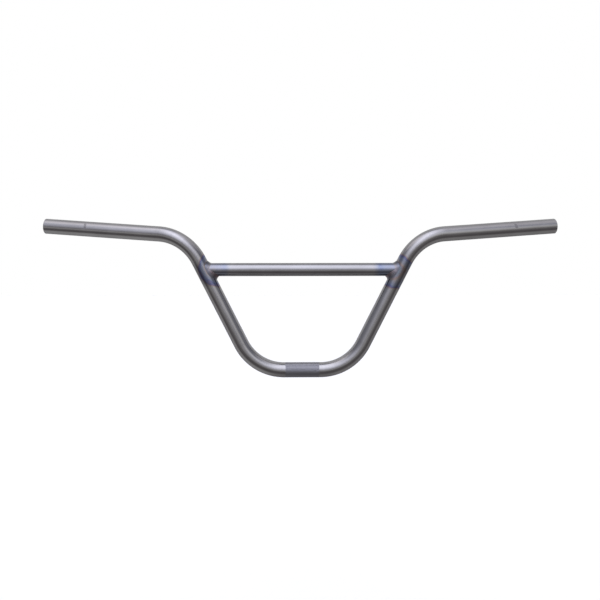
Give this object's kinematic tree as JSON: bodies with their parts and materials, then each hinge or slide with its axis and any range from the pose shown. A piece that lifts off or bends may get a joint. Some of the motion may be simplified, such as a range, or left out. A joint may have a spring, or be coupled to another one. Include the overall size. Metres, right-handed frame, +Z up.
{
  "type": "bmx handlebar",
  "caption": "Bent steel tube handlebar with a welded crossbar between its rising legs, a straight clamp section for a stem and swept-back open grip ends.",
  "frame": {"origin": "middle of the straight clamp run, on the tube's axis", "axes": "+X along the clamp to the right as seen from the front, +Y back towards the rider, +Z up"},
  "size_m": [0.762, 0.063, 0.2316],
  "materials": {
    "raw_steel": "gloss",
    "weld_metal": "satin"
  },
  "bodies": {
    "root": {"main_tube": "raw_steel", "crossbar": "raw_steel", "weld_beads": "weld_metal"}
  },
  "joints": []
}
